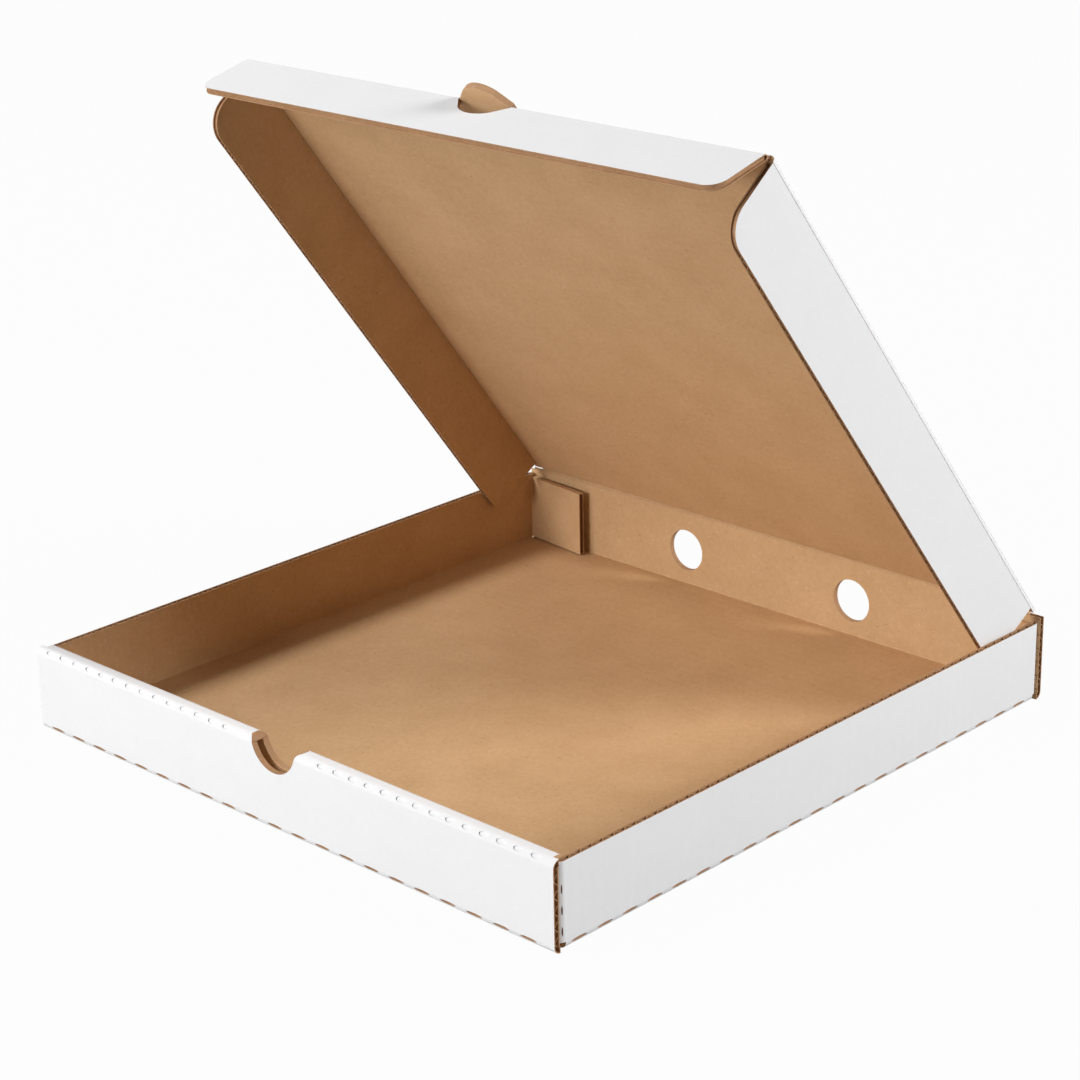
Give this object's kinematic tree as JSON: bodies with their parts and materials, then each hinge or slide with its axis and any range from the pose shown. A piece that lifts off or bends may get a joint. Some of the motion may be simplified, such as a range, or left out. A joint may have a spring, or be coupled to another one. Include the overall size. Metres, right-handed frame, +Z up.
{
  "type": "pizza box",
  "caption": "Folding board pizza box with a raised hinged lid, double front wall, thumb notch, tuck tab and rear vents.",
  "frame": {"origin": "centre of the base's underside", "axes": "+Z up, the front wall with the thumb notch faces -Y, the lid is hinged along the +Y wall, +X to the right seen from the front"},
  "size_m": [0.33, 0.3364, 0.3053],
  "materials": {
    "board": "white outside, kraft brown inside, matte"
  },
  "bodies": {
    "tray": {"tray": "board"},
    "lid": {"lid": "board"},
    "lid_front_flap": {"lid_front_flap": "board"},
    "lid_left_flap": {"lid_left_flap": "board"},
    "lid_right_flap": {"lid_right_flap": "board"}
  },
  "joints": [
    {"name": "lid_hinge", "type": "hinge", "parent": "tray", "child": "lid", "pos_m": [0, 0.16675, 0.0432], "axis": [-1, 0, 0], "range_deg": [-52.4, 127.6]},
    {"name": "lid_front_flap_fold", "type": "hinge", "parent": "lid", "child": "lid_front_flap", "pos_m": [0, -0.02734, 0.29523], "axis": [1, 0, 0], "range_deg": [-55, 23]},
    {"name": "lid_left_flap_fold", "type": "hinge", "parent": "lid", "child": "lid_left_flap", "pos_m": [-0.1586, 0.16556, 0.04228], "axis": [0.0135, -0.6101, 0.7922], "range_deg": [0, 80]},
    {"name": "lid_right_flap_fold", "type": "hinge", "parent": "lid", "child": "lid_right_flap", "pos_m": [0.1586, 0.16556, 0.04228], "axis": [0.0135, 0.6101, -0.7922], "range_deg": [0, 80]}
  ],
  "couplings": [
    {"joint": "lid_front_flap_fold", "follows": "lid_hinge", "ratio": -0.42939}
  ]
}
